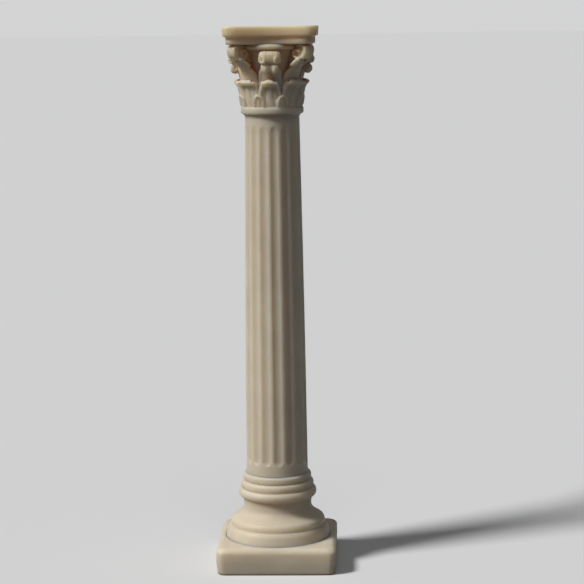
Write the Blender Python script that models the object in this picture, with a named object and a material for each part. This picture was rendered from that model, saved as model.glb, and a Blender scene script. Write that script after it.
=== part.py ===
"""Cast resin column in the Corinthian manner, as one solid.

A soft-edged square plinth carries turned base mouldings, a fluted shaft with entasis and a leafed
capital with corner volutes under a hollow-sided abacus. The origin is the middle of the underside,
+Z is up, -Y is the front. All sizes are metres.
"""
import math

import bpy
from mathutils import Vector

# Heights, from the ground up
PLINTH_HEIGHT = 0.0066
DISC_HEIGHT = 0.0043
DOME_HEIGHT = 0.0035
SCOTIA_HEIGHT = 0.0038
LOWER_BEAD_HEIGHT = 0.0032
UPPER_BEAD_HEIGHT = 0.00195
ASTRAGAL_HEIGHT = 0.00135
SHAFT_LENGTH = 0.0971
NECK_COVE_HEIGHT = 0.0014
NECK_RING_HEIGHT = 0.0017
BELL_HEIGHT = 0.0165
ABACUS_LOWER_HEIGHT = 0.00205
ABACUS_UPPER_HEIGHT = 0.00275

# Shaft and its flutes
SHAFT_FOOT_RADIUS = 0.00843
SHAFT_NECK_RADIUS = 0.0073
ENTASIS_POWER = 1.42
FLUTE_COUNT = 16
FLUTE_WIDTH = 0.0025
FLUTE_DEPTH = 0.0006
FLUTE_TURN = math.radians(5.4)
FLUTE_FOOT_MARGIN = 0.0034
FLUTE_HEAD_MARGIN = 0.0018
FLUTE_HEAD_FADE = 0.0035
FLUTE_FLOOR = (0.5, 0.87)
FLUTE_FOOT_STATIONS = ((0.0, 0.0, 0.45), (0.45, 0.85, 0.85), (1.0, 1.0, 1.0))
FLUTE_SHANK_SHARES = (0.3, 0.65)
FLUTE_HEAD_STATIONS = ((1.0, 1.0, 1.0), (0.0, 0.0, 0.8))
APOPHYGE_HEIGHT = 0.0013

# How far each base moulding stands out from the foot of the shaft
ASTRAGAL_PROJECTION = 0.00062
UPPER_BEAD_PROJECTION = 0.0016
LOWER_BEAD_PROJECTION = 0.00232
SCOTIA_HEAD_PROJECTION = 0.00142
SCOTIA_FOOT_PROJECTION = 0.0016
DISC_PROJECTION = 0.00577

# Depths and roundings of the base mouldings and the plinth
SCOTIA_HOLLOW = 0.00065
DOME_BOW = 0.00072
DOME_SETBACK = 0.00125
DOME_LIFT = 0.0001
BEAD_ROOT = 0.0007
ASTRAGAL_ROOT = 0.0002
DISC_ROUNDING = 0.00085
DISC_SQUARENESS = 2.8
PLINTH_MARGIN = 0.002
PLINTH_CORNER_RADIUS = 0.0018
PLINTH_EDGE_RADIUS = 0.0011
PLINTH_FOOT_RADIUS = 0.00066

# Neck ring and bell, measured out from the neck of the shaft
NECK_RING_PROJECTION = 0.00112
NECK_RING_ROOT = 0.0004
NECK_RING_SQUARENESS = 2.4
NECK_COVE_HOLLOW = 0.00023
BELL_PROJECTION = 0.00028
BELL_LIP_PROJECTION = 0.00258
BELL_LIP_HEIGHT = 0.0016
BELL_HOLLOW = 0.00115
LEAF_FACE_PROJECTION = 0.0008

# Abacus, measured out from the neck of the shaft
ABACUS_UPPER_PROJECTION = 0.00515
ABACUS_STEP = 0.00103
ABACUS_HOLLOW = 0.0013
ABACUS_CORNER_CUT = 0.0018
ABACUS_EDGE_RADIUS = 0.0004
ABACUS_TAPER = 0.0002

# Leaves
TALL_LEAF_COUNT = 8
TALL_LEAF_HEIGHT = 0.0073
TALL_LEAF_WIDTH = 0.0060
TALL_LEAF_LEAN = 0.0012
TALL_LEAF_CURL = 0.0003
TALL_LEAF_THICKNESS = 0.0009
SMALL_LEAF_HEIGHT = 0.0036
SMALL_LEAF_WIDTH = 0.0032
SMALL_LEAF_LEAN = 0.0005
SMALL_LEAF_CURL = 0.0002
SMALL_LEAF_THICKNESS = 0.00055
SIDE_LEAF_WIDTH = 0.0055
SIDE_ROLL_RADIUS = 0.00113
SIDE_ROLL_RISE = 0.0103
SIDE_ROLL_PROJECTION = 0.00203
LEAF_TIP_TURN = math.radians(135)
LEAF_RELIEF = 0.00025
LEAF_BACK_SHARE = 0.85

# Lines of points across a leaf: share of the half width, share of the relief
TALL_ACROSS = ((-1.0, 0.3), (-0.78, 1.0), (-0.4, -0.4), (0.0, 0.8), (0.4, -0.4), (0.78, 1.0), (1.0, 0.3))
SMALL_ACROSS = ((-1.0, 0.2), (-0.6, 0.9), (0.0, -0.2), (0.6, 0.9), (1.0, 0.2))
SIDE_STEM_ACROSS = ((-1.0, 0.0), (-0.35, 0.5), (0.35, 0.5), (1.0, 0.0))

# Upright part of a leaf: shares of its rise, lean, half width and relief
LEAF_RISE_STATIONS = ((0.0, 0.0, 0.85, 0.3), (0.5, 0.35, 1.0, 1.0), (0.82, 0.7, 0.95, 1.0))

# Curled tip of a leaf: shares of its turn, half width and thickness
LEAF_CURL_STATIONS = ((0.0, 0.84, 1.0), (0.33, 0.68, 0.95), (0.67, 0.48, 0.75), (1.0, 0.24, 0.45))

# Stem of a side leaf: setback from its roll, share of the way down to the foot, rise, share of the width
SIDE_STEM_STATIONS = ((0.85, 1.0, 0.0, 1.0), (0.6, 0.0, -0.9, 1.0), (0.3, 0.0, 0.4, 0.75))

# Roll of a side leaf: share of the half width, share of the roll's radius
SIDE_ROLL_PROFILE = ((-0.6, 0.4), (-0.75, 0.7), (-0.375, 1.0), (0.0, 0.74), (0.375, 1.0), (0.75, 0.7),
                     (0.6, 0.4))

# Corner volutes, calyxes and the small scrolls in the middle of each side
VOLUTE_RADIUS = 0.00238
VOLUTE_WIDTH = 0.0029
VOLUTE_PROJECTION = 0.00485
VOLUTE_BAND = 0.0006
VOLUTE_SINK = 0.00028
VOLUTE_TAIL_STRETCH = 0.95
VOLUTE_SHRINK = 0.577
VOLUTE_THINNING = 0.75
VOLUTE_START = math.radians(200)
VOLUTE_END = math.radians(-500)
CORE_END = math.radians(-100)
CORE_WEB_DROP = 1.3
CALYX_WIDTH = 0.0062
CALYX_MOUTH_WIDTH = 0.0034
CALYX_FLARE = 2.2
CALYX_SHARES = (0.0, 0.4, 0.75, 1.0)
CALYX_RIM_RADIUS = 0.00034
CALYX_RIM_SPREAD = (0.75, 0.85)

# Mouth of a calyx from the volute's centre: shares of the volute's radius inward and down
CALYX_MOUTH_INNER = (1.3, 1.2)
CALYX_MOUTH_OUTER = (0.12, 0.68)

# Cushion and scrolls in the middle of a side
CUSHION_RADIUS = 0.0019
CUSHION_PROJECTION = 0.00193
SCROLL_RADIUS = 0.00155
SCROLL_SPREAD = 0.0019
SCROLL_TURN = math.radians(42)
SCROLL_DROP = 0.00023

# Cushion: share of the scrolls' spread, share of the cushion's radius
CUSHION_PROFILE = ((-1.0, 0.72), (-0.5, 0.97), (0.5, 0.97), (1.0, 0.72))

# Scroll: offset along its axis and radius, as shares of the scroll's radius
SCROLL_PROFILE = ((-0.8, 0.7), (0.2, 1.0), (0.5, 0.72), (0.32, 0.5), (0.44, 0.22))

# Fineness of the faceted surfaces, and how far a piece reaches into its neighbour
TURNED_POINTS = 36
CALYX_POINTS = 8
CALYX_RIM_POINTS = 5
SIDE_ROLL_POINTS = 8
CUSHION_POINTS = 9
SCROLL_POINTS = 8
VOLUTE_STEPS = 26
CORE_STEPS = 12
ROUNDING_ANGLES = (0.0, math.pi / 4, math.pi / 2)
EMBED = 0.0005

RESIN_COLOUR = (0.73, 0.63, 0.46, 1.0)
RESIN_ROUGHNESS = 0.48
CREASE_ANGLE = math.radians(40)

# Levels and radii that follow from the sizes above
DISC_FOOT = PLINTH_HEIGHT
DOME_FOOT = DISC_FOOT + DISC_HEIGHT
SCOTIA_FOOT = DOME_FOOT + DOME_HEIGHT
LOWER_BEAD_FOOT = SCOTIA_FOOT + SCOTIA_HEIGHT
UPPER_BEAD_FOOT = LOWER_BEAD_FOOT + LOWER_BEAD_HEIGHT
ASTRAGAL_FOOT = UPPER_BEAD_FOOT + UPPER_BEAD_HEIGHT
SHAFT_FOOT = ASTRAGAL_FOOT + ASTRAGAL_HEIGHT
SHAFT_TOP = SHAFT_FOOT + SHAFT_LENGTH
NECK_RING_FOOT = SHAFT_TOP + NECK_COVE_HEIGHT
BELL_FOOT = NECK_RING_FOOT + NECK_RING_HEIGHT
ABACUS_FOOT = BELL_FOOT + BELL_HEIGHT
ABACUS_STEP_LEVEL = ABACUS_FOOT + ABACUS_LOWER_HEIGHT
COLUMN_TOP = ABACUS_STEP_LEVEL + ABACUS_UPPER_HEIGHT

DISC_RADIUS = SHAFT_FOOT_RADIUS + DISC_PROJECTION
PLINTH_HALF_SIDE = DISC_RADIUS + PLINTH_MARGIN
NECK_RING_RADIUS = SHAFT_NECK_RADIUS + NECK_RING_PROJECTION
BELL_RADIUS = SHAFT_NECK_RADIUS + BELL_PROJECTION
BELL_LIP_RADIUS = SHAFT_NECK_RADIUS + BELL_LIP_PROJECTION
LEAF_FACE_RADIUS = SHAFT_NECK_RADIUS + LEAF_FACE_PROJECTION
ABACUS_HALF_SIDE = SHAFT_NECK_RADIUS + ABACUS_UPPER_PROJECTION
VOLUTE_CENTRE_RADIUS = SHAFT_NECK_RADIUS + VOLUTE_PROJECTION
VOLUTE_CENTRE_HEIGHT = ABACUS_FOOT - VOLUTE_RADIUS


def clear_scene():
    for thing in list(bpy.data.objects):
        bpy.data.objects.remove(thing, do_unlink=True)


def resin_material():
    """Cream casting resin with a satin skin."""
    material = bpy.data.materials.new("cast_resin")
    material.use_nodes = True
    shader = material.node_tree.nodes["Principled BSDF"]
    shader.inputs["Base Color"].default_value = RESIN_COLOUR
    shader.inputs["Roughness"].default_value = RESIN_ROUGHNESS
    shader.inputs["Metallic"].default_value = 0.0
    return material


def blend(start, end, share):
    return start + (end - start) * share


def bowed(start, end, bow, steps):
    """Circular arc between two (radius, height) points; a positive bow swells outward on the way up."""
    chord_radius = end[0] - start[0]
    chord_height = end[1] - start[1]
    length = math.hypot(chord_radius, chord_height)
    out = (chord_height / length, -chord_radius / length)
    points = []
    for step in range(steps + 1):
        share = step / steps
        swell = 4 * bow * share * (1 - share)
        points.append((start[0] + chord_radius * share + out[0] * swell,
                       start[1] + chord_height * share + out[1] * swell))
    return points


def bead(low, high, root_low, root_high, outer, steps, squareness=2.0):
    """Rounded moulding: half of a superellipse that stands out from the root radii at its two edges."""
    points = []
    for step in range(steps + 1):
        angle = math.pi * (step / steps - 0.5)
        rise = math.copysign(abs(math.sin(angle)) ** (2 / squareness), angle)
        swell = max(0.0, math.cos(angle)) ** (2 / squareness)
        share = (rise + 1) / 2
        root = blend(root_low, root_high, share)
        points.append((blend(root, outer, swell), blend(low, high, share)))
    return points


def loft(name, rings):
    """Closed solid through rings of equally many points, with a fan of triangles over each end."""
    count = len(rings[0])
    vertices = [point for ring in rings for point in ring]
    faces = []
    for ring in range(len(rings) - 1):
        for index in range(count):
            following = (index + 1) % count
            faces.append((ring * count + index, ring * count + following,
                          (ring + 1) * count + following, (ring + 1) * count + index))
    for ring in (0, len(rings) - 1):
        middle = sum((Vector(point) for point in rings[ring]), Vector()) / count
        vertices.append(middle)
        for index in range(count):
            edge = (ring * count + index, ring * count + (index + 1) % count)
            if ring == 0:
                edge = edge[::-1]
            faces.append((edge[0], edge[1], len(vertices) - 1))
    mesh = bpy.data.meshes.new(name)
    mesh.from_pydata([tuple(point) for point in vertices], [], faces)
    mesh.validate()
    volume = sum(signed_volume(mesh, face) for face in mesh.polygons)
    if volume < 0:
        mesh.flip_normals()
    thing = bpy.data.objects.new(name, mesh)
    bpy.context.scene.collection.objects.link(thing)
    return thing


def signed_volume(mesh, face):
    """Volume of the cone from the origin to a face, negative where the face looks inward."""
    corners = [mesh.vertices[index].co for index in face.vertices]
    total = 0.0
    for second, third in zip(corners[1:], corners[2:]):
        total += corners[0].dot(second.cross(third)) / 6
    return total


def around(turn, radius, height, side=0.0):
    """Point at a turn from the front, a radius and a height, shifted sideways along the tangent."""
    return Vector((radius * math.sin(turn) + side * math.cos(turn),
                   -radius * math.cos(turn) + side * math.sin(turn), height))


def wrapped(turn, radius, height, side):
    """Point whose sideways shift follows the round body instead of the tangent."""
    return around(turn + side / radius, radius, height)


# Turned members: base mouldings, fluted shaft, neck ring and bell

def shaft_radius(height):
    """Radius of the shaft, which narrows faster towards the neck."""
    share = (height - SHAFT_FOOT) / SHAFT_LENGTH
    return blend(SHAFT_FOOT_RADIUS, SHAFT_NECK_RADIUS, max(0.0, share) ** ENTASIS_POWER)


def base_profile():
    """Disc, dome, scotia, two beads and astragal, from inside the plinth up into the foot of the shaft."""
    dome_foot = (DISC_RADIUS - DOME_SETBACK, DOME_FOOT + DOME_LIFT)
    scotia_foot = (SHAFT_FOOT_RADIUS + SCOTIA_FOOT_PROJECTION, SCOTIA_FOOT)
    scotia_head = (SHAFT_FOOT_RADIUS + SCOTIA_HEAD_PROJECTION, LOWER_BEAD_FOOT)
    lower_radius = SHAFT_FOOT_RADIUS + LOWER_BEAD_PROJECTION
    upper_radius = SHAFT_FOOT_RADIUS + UPPER_BEAD_PROJECTION
    astragal_radius = SHAFT_FOOT_RADIUS + ASTRAGAL_PROJECTION
    disc_root = DISC_RADIUS - DISC_ROUNDING
    bead_join = upper_radius - ASTRAGAL_ROOT
    astragal_root = astragal_radius - ASTRAGAL_ROOT
    profile = [(disc_root, DISC_FOOT - EMBED)]
    profile += bead(DISC_FOOT, DOME_FOOT, disc_root, disc_root, DISC_RADIUS, 4, DISC_SQUARENESS)
    profile += bowed(dome_foot, scotia_foot, DOME_BOW, 4)
    profile += bowed(scotia_foot, scotia_head, -SCOTIA_HOLLOW, 3)[1:]
    profile += bead(LOWER_BEAD_FOOT, UPPER_BEAD_FOOT, scotia_head[0], bead_join, lower_radius, 4)[1:]
    profile += bead(UPPER_BEAD_FOOT, ASTRAGAL_FOOT, bead_join, astragal_root, upper_radius, 3)[1:]
    profile += bead(ASTRAGAL_FOOT, SHAFT_FOOT, astragal_root, astragal_root, astragal_radius, 3)[1:]
    profile.append((SHAFT_FOOT_RADIUS - EMBED, SHAFT_FOOT + APOPHYGE_HEIGHT))
    return profile


def head_profile():
    """Neck ring and bell, from inside the top of the shaft up into the abacus."""
    ring_root = NECK_RING_RADIUS - NECK_RING_ROOT
    lip_root = BELL_LIP_RADIUS - BEAD_ROOT
    lip_foot = ABACUS_FOOT - BELL_LIP_HEIGHT
    profile = bowed((SHAFT_NECK_RADIUS - EMBED / 2, SHAFT_TOP - EMBED), (ring_root, NECK_RING_FOOT),
                    -NECK_COVE_HOLLOW, 3)
    profile += bead(NECK_RING_FOOT, BELL_FOOT, ring_root, ring_root, NECK_RING_RADIUS, 3,
                    NECK_RING_SQUARENESS)[1:]
    profile += bowed((BELL_RADIUS, BELL_FOOT + EMBED), (lip_root, lip_foot), -BELL_HOLLOW, 3)
    profile += bead(lip_foot, ABACUS_FOOT, lip_root, lip_root, BELL_LIP_RADIUS, 3)[1:]
    profile.append((lip_root, ABACUS_FOOT + EMBED))
    return profile


def plain_ring(radius, height):
    return [around(FLUTE_TURN + math.tau * index / TURNED_POINTS, radius, height)
            for index in range(TURNED_POINTS)]


def fluted_ring(height, depth_share, spread):
    """Ring of the shaft in which each flute has an edge, two floor points and an edge."""
    radius = shaft_radius(height)
    pitch = math.tau / FLUTE_COUNT
    edge = spread * FLUTE_WIDTH / 2 / SHAFT_FOOT_RADIUS
    floor_share, floor_depth = FLUTE_FLOOR
    across = ((-1.0, 0.0), (-floor_share, floor_depth), (floor_share, floor_depth), (1.0, 0.0))
    points = []
    for flute in range(FLUTE_COUNT):
        middle = FLUTE_TURN + flute * pitch
        for share, sink in across:
            depth = FLUTE_DEPTH * depth_share * sink
            points.append(around(middle + share * edge, radius - depth, height))
    return points


def make_shaft():
    """Fluted shaft, from inside the base up into the neck."""
    foot = SHAFT_FOOT + FLUTE_FOOT_MARGIN
    head = SHAFT_TOP - FLUTE_HEAD_MARGIN
    rings = [fluted_ring(SHAFT_FOOT - EMBED, 0.0, 1.0)]
    for rise, depth_share, spread in FLUTE_FOOT_STATIONS:
        rings.append(fluted_ring(foot + rise * FLUTE_WIDTH / 2, depth_share, spread))
    for share in FLUTE_SHANK_SHARES:
        rings.append(fluted_ring(blend(foot, head, share), 1.0, 1.0))
    for drop, depth_share, spread in FLUTE_HEAD_STATIONS:
        rings.append(fluted_ring(head - drop * FLUTE_HEAD_FADE, depth_share, spread))
    rings.append(fluted_ring(SHAFT_TOP + EMBED, 0.0, 1.0))
    return loft("resin_column", rings)


def make_turned(name, profile):
    return loft(name, [plain_ring(radius, height) for radius, height in profile])


# Square members

def rounded_square(half_side, corner_radius, height, steps=4):
    """Square outline with rounded corners."""
    points = []
    for corner in range(4):
        start = corner * math.pi / 2
        middle = Vector(((half_side - corner_radius) * math.sqrt(2) * math.cos(start + math.pi / 4),
                         (half_side - corner_radius) * math.sqrt(2) * math.sin(start + math.pi / 4), height))
        for step in range(steps + 1):
            angle = start + step / steps * math.pi / 2
            points.append(middle + Vector((math.cos(angle), math.sin(angle), 0)) * corner_radius)
    return points


def make_plinth():
    """Square slab with a small rounding round its foot and a larger one round its top."""
    levels = []
    for angle in ROUNDING_ANGLES:
        levels.append((PLINTH_FOOT_RADIUS * (1 - math.sin(angle)),
                       PLINTH_FOOT_RADIUS * (1 - math.cos(angle))))
    for angle in ROUNDING_ANGLES:
        levels.append((PLINTH_EDGE_RADIUS * (1 - math.cos(angle)),
                       PLINTH_HEIGHT - PLINTH_EDGE_RADIUS * (1 - math.sin(angle))))
    return loft("plinth", [rounded_square(PLINTH_HALF_SIDE - inset, PLINTH_CORNER_RADIUS, height)
                           for inset, height in levels])


def hollow_square(half_side, height, steps=4):
    """Abacus outline: four hollow sides between cut corners."""
    points = []
    run = half_side - ABACUS_CORNER_CUT
    for side in range(4):
        turn = side * math.pi / 2
        for step in range(steps + 1):
            share = 2 * step / steps - 1
            hollow = ABACUS_HOLLOW * (1 - share * share)
            points.append(around(turn, half_side - hollow, height, share * run))
    return points


def make_abacus():
    """Two tiers, of which the upper stands out and widens a little towards its top."""
    lower = ABACUS_HALF_SIDE - ABACUS_STEP
    edge = ABACUS_EDGE_RADIUS
    levels = [(lower - edge, ABACUS_FOOT), (lower, ABACUS_FOOT + edge),
              (lower, ABACUS_STEP_LEVEL), (ABACUS_HALF_SIDE - ABACUS_TAPER, ABACUS_STEP_LEVEL + edge / 2),
              (ABACUS_HALF_SIDE, COLUMN_TOP - edge), (ABACUS_HALF_SIDE - edge, COLUMN_TOP)]
    return loft("abacus", [hollow_square(half_side, height) for half_side, height in levels])


# Leaves

def make_leaf(name, turn, stations, across):
    """Leaf from (radius, height, half width, thickness, tilt, relief) stations.

    Each (share of the half width, lift) pair of across is a line of points along the face, and lift is a
    share of the station's relief. The back lies a thickness behind the face, along the face's tilted normal.
    """
    rings = []
    for radius, height, half_width, thickness, tilt, relief in stations:
        out = (math.cos(tilt), math.sin(tilt))
        ring = []
        for share, lift in across:
            ring.append(wrapped(turn, radius + relief * lift * out[0], height + relief * lift * out[1],
                                share * half_width))
        for share in (LEAF_BACK_SHARE, -LEAF_BACK_SHARE):
            ring.append(wrapped(turn, radius - thickness * out[0], height - thickness * out[1],
                                share * half_width))
        rings.append(ring)
    return loft(name, rings)


def curled_stations(face, top, width, lean, curl, thickness):
    """Stations of a leaf that rises, leans out and turns its tip over outward in a tapering curl."""
    half = width / 2
    base = BELL_FOOT - EMBED
    centre_radius = face + lean + curl
    centre_height = top - curl - thickness
    deep = face - BELL_RADIUS + EMBED
    stations = []
    for rise, lean_share, width_share, relief_share in LEAF_RISE_STATIONS:
        stations.append((face + lean * lean_share, blend(base, centre_height, rise), half * width_share,
                         deep, 0.0, LEAF_RELIEF * relief_share))
    for turn_share, width_share, taper in LEAF_CURL_STATIONS:
        turn = LEAF_TIP_TURN * turn_share
        stations.append((centre_radius - curl * math.cos(turn), centre_height + curl * math.sin(turn),
                         half * width_share, thickness * taper, -turn, 0.0))
    return stations


def make_leaves():
    """Ring of tall leaves with a small one in front of each gap."""
    leaves = []
    pitch = math.tau / TALL_LEAF_COUNT
    tall = curled_stations(LEAF_FACE_RADIUS, BELL_FOOT + TALL_LEAF_HEIGHT, TALL_LEAF_WIDTH, TALL_LEAF_LEAN,
                           TALL_LEAF_CURL, TALL_LEAF_THICKNESS)
    small = curled_stations(LEAF_FACE_RADIUS + LEAF_RELIEF, BELL_FOOT + SMALL_LEAF_HEIGHT, SMALL_LEAF_WIDTH,
                            SMALL_LEAF_LEAN, SMALL_LEAF_CURL, SMALL_LEAF_THICKNESS)
    for index in range(TALL_LEAF_COUNT):
        leaves.append(make_leaf(f"tall_leaf_{index}", index * pitch, tall, TALL_ACROSS))
        leaves.append(make_leaf(f"small_leaf_{index}", (index + 0.5) * pitch, small, SMALL_ACROSS))
    return leaves


def make_spool(name, middle, axis, profile, points):
    """Solid turned about any axis, from (offset along the axis, radius) pairs."""
    axis = axis.normalized()
    upright = Vector((0, 0, 1))
    across = axis.cross(upright).normalized()
    rings = []
    for offset, radius in profile:
        rings.append([middle + axis * offset
                      + across * radius * math.cos(math.tau * index / points)
                      + upright * radius * math.sin(math.tau * index / points) for index in range(points)])
    return loft(name, rings)


def make_side_leaf(index):
    """Upper leaf in the middle of a side: a stem behind and a rolled tip with two swellings."""
    turn = index * math.pi / 2
    roll_height = BELL_FOOT + SIDE_ROLL_RISE
    roll_radius = SHAFT_NECK_RADIUS + SIDE_ROLL_PROJECTION
    half = SIDE_LEAF_WIDTH / 2
    size = SIDE_ROLL_RADIUS
    deep = roll_radius - BELL_RADIUS
    foot = BELL_FOOT + SMALL_LEAF_HEIGHT
    stations = []
    for setback, foot_share, rise, width_share in SIDE_STEM_STATIONS:
        height = blend(roll_height + size * rise, foot, foot_share)
        stations.append((roll_radius - size * setback, height, half * width_share, deep, 0.0, LEAF_RELIEF))
    stem = make_leaf(f"side_leaf_{index}", turn, stations, SIDE_STEM_ACROSS)
    profile = [(share * half, swell * size) for share, swell in SIDE_ROLL_PROFILE]
    roll = make_spool(f"side_roll_{index}", around(turn, roll_radius, roll_height), around(turn, 0, 0, 1),
                      profile, SIDE_ROLL_POINTS)
    return [stem, roll]


# Calyxes and volutes on the diagonals

def ellipse_ring(turn, inner, outer, half_width):
    """Ring through an inner and an outer (radius, height) point, as wide as twice the half width."""
    ring = []
    for index in range(CALYX_POINTS):
        angle = math.tau * index / CALYX_POINTS
        share = (1 + math.cos(angle)) / 2
        ring.append(around(turn, blend(inner[0], outer[0], share), blend(inner[1], outer[1], share),
                           half_width * math.sin(angle)))
    return ring


def calyx_mouth():
    """Inner and outer (radius, height) points of the mouth that the volute springs from."""
    points = []
    for inward, down in (CALYX_MOUTH_INNER, CALYX_MOUTH_OUTER):
        points.append((VOLUTE_CENTRE_RADIUS - VOLUTE_RADIUS * inward,
                       VOLUTE_CENTRE_HEIGHT - VOLUTE_RADIUS * down))
    return points


def make_calyx(index):
    """Cup that flares from behind a diagonal leaf to the mouth under a volute."""
    turn = (index + 0.5) * math.pi / 2
    foot = BELL_FOOT + SMALL_LEAF_HEIGHT
    inner, outer = calyx_mouth()
    half = CALYX_WIDTH / 2
    mouth_half = CALYX_MOUTH_WIDTH / 2
    behind = (BELL_RADIUS - half / 2, foot)
    front = (LEAF_FACE_RADIUS - LEAF_RELIEF * 2, foot)
    rings = []
    for share in CALYX_SHARES:
        flare = share ** CALYX_FLARE
        rings.append(ellipse_ring(turn, (blend(behind[0], inner[0], flare), blend(foot, inner[1], share)),
                                  (blend(front[0], outer[0], flare), blend(foot, outer[1], share)),
                                  blend(half, mouth_half, flare)))
    cup = loft(f"calyx_{index}", rings)
    return [cup] + make_mouth_rims(index, turn, inner, outer, mouth_half)


def make_mouth_rims(index, turn, inner, outer, mouth_half):
    """A rounded bar along each flank of a calyx mouth."""
    rims = []
    for hand in (-1, 1):
        start = around(turn, inner[0], inner[1], hand * mouth_half * CALYX_RIM_SPREAD[0])
        end = around(turn, outer[0], outer[1], hand * mouth_half * CALYX_RIM_SPREAD[1])
        middle = (start + end) / 2
        axis = end - start
        half = axis.length / 2
        profile = [(-half, CALYX_RIM_RADIUS), (half, CALYX_RIM_RADIUS)]
        rims.append(make_spool(f"calyx_rim_{index}_{hand + 1}", middle, axis, profile, CALYX_RIM_POINTS))
    return rims


def spiral_point(angle, shift=0.0):
    """(radius, height) on a volute's band, which is stretched towards the bell past its top."""
    size = (VOLUTE_RADIUS - VOLUTE_BAND / 2) * VOLUTE_SHRINK ** max(0.0, -angle / math.tau) + shift
    past_top = min(max(0.0, angle - math.pi / 2), math.pi / 2)
    stretch = 1 + VOLUTE_TAIL_STRETCH * math.sin(past_top)
    return (VOLUTE_CENTRE_RADIUS + size * math.cos(angle) * stretch,
            VOLUTE_CENTRE_HEIGHT + size * math.sin(angle))


def make_volute(index):
    """Scroll band rolled in to the eye, around a thinner core that reaches back to the bell."""
    turn = (index + 0.5) * math.pi / 2
    half = VOLUTE_WIDTH / 2
    band = []
    for step in range(VOLUTE_STEPS + 1):
        share = step / VOLUTE_STEPS
        angle = blend(VOLUTE_START, VOLUTE_END, share)
        thin = VOLUTE_BAND * blend(1.0, VOLUTE_THINNING, share)
        inner = spiral_point(angle, -thin / 2)
        outer = spiral_point(angle, thin / 2)
        band.append([around(turn, outer[0], outer[1], -half), around(turn, outer[0], outer[1], half),
                     around(turn, inner[0], inner[1], half), around(turn, inner[0], inner[1], -half)])
    strip = loft(f"volute_band_{index}", band)
    outline = [spiral_point(blend(VOLUTE_START, CORE_END, step / CORE_STEPS))
               for step in range(CORE_STEPS + 1)]
    outline.append((BELL_RADIUS, VOLUTE_CENTRE_HEIGHT - VOLUTE_RADIUS * CORE_WEB_DROP))
    sides = [[around(turn, radius, height, side * (half - VOLUTE_SINK)) for radius, height in outline]
             for side in (-1, 1)]
    core = loft(f"volute_core_{index}", sides)
    return [strip, core]


def make_side_scrolls(index):
    """Twin scrolls under the bell's lip, turned outward, with a swelling cushion between them."""
    turn = index * math.pi / 2
    height = BELL_FOOT + SIDE_ROLL_RISE + SIDE_ROLL_RADIUS + CUSHION_RADIUS
    radius = SHAFT_NECK_RADIUS + CUSHION_PROJECTION
    cushion = [(share * SCROLL_SPREAD, swell * CUSHION_RADIUS) for share, swell in CUSHION_PROFILE]
    pieces = [make_spool(f"cushion_{index}", around(turn, radius, height), around(turn, 0, 0, 1), cushion,
                         CUSHION_POINTS)]
    disc = [(offset * SCROLL_RADIUS, share * SCROLL_RADIUS) for offset, share in SCROLL_PROFILE]
    for hand in (-1, 1):
        axis = around(turn + hand * (math.pi / 2 - SCROLL_TURN), 1, 0)
        middle = around(turn, radius, height - SCROLL_DROP, hand * SCROLL_SPREAD)
        pieces.append(make_spool(f"scroll_{index}_{hand + 1}", middle, axis, disc, SCROLL_POINTS))
    return pieces


def main():
    """The shaft carries the part's name, and everything else is joined to it."""
    clear_scene()
    column = make_shaft()
    column.data.materials.append(resin_material())
    column.data.shade_smooth()
    column.data.set_sharp_from_angle(angle=CREASE_ANGLE)
    carving = [make_plinth(), make_turned("base", base_profile()), make_turned("head", head_profile()),
               make_abacus()] + make_leaves()
    for index in range(4):
        carving += make_side_leaf(index) + make_calyx(index) + make_volute(index) + make_side_scrolls(index)
    group = bpy.data.collections.new("carving")
    bpy.context.scene.collection.children.link(group)
    for piece in carving:
        bpy.context.scene.collection.objects.unlink(piece)
        group.objects.link(piece)
        piece.hide_render = True
        piece.display_type = 'WIRE'
    union = column.modifiers.new("carving", 'BOOLEAN')
    union.operation = 'UNION'
    union.solver = 'EXACT'
    union.operand_type = 'COLLECTION'
    union.collection = group


main()
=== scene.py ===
"""Dressed resin column: cast mouldings, fluted shaft and carved capital over the CAD frame.

Shapes are worked out in millimetres and scaled to metres when a piece is finished. The origin
is the middle of the underside, +Z is up and -Y is the front, as in the CAD.
"""
import math

import bpy
import numpy as np
from mathutils import Euler, Matrix, Vector, noise


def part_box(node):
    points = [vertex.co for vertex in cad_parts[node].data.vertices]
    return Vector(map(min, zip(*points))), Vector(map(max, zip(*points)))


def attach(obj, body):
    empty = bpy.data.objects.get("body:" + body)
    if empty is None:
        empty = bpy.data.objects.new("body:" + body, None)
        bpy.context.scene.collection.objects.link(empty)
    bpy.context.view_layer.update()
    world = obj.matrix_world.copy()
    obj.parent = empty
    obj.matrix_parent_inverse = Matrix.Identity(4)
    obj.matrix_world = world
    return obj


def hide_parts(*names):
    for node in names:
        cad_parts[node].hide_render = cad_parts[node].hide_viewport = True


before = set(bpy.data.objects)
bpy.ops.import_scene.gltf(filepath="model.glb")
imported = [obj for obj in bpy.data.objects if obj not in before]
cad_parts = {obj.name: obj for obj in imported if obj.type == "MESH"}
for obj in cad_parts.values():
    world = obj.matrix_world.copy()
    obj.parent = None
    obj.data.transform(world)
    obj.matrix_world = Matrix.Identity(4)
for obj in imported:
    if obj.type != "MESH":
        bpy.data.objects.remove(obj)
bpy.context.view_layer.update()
NODE = "resin_column"
noise.seed_set(5)  # without a seed, noise_vector follows the clock

# Heights, from the ground up, in millimetres
PLINTH_HEIGHT = 7.3
DISC_HEIGHT = 3.6
DOME_HEIGHT = 3.4
SCOTIA_HEIGHT = 4.05
LOWER_BEAD_HEIGHT = 2.5
UPPER_BEAD_HEIGHT = 2.15
ASTRAGAL_HEIGHT = 1.9
SHAFT_LENGTH = 96.9
NECK_COVE_HEIGHT = 1.4
NECK_RING_HEIGHT = 1.7
BELL_HEIGHT = 16.5
ABACUS_LOWER_HEIGHT = 2.05
ABACUS_UPPER_HEIGHT = 2.75

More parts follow.
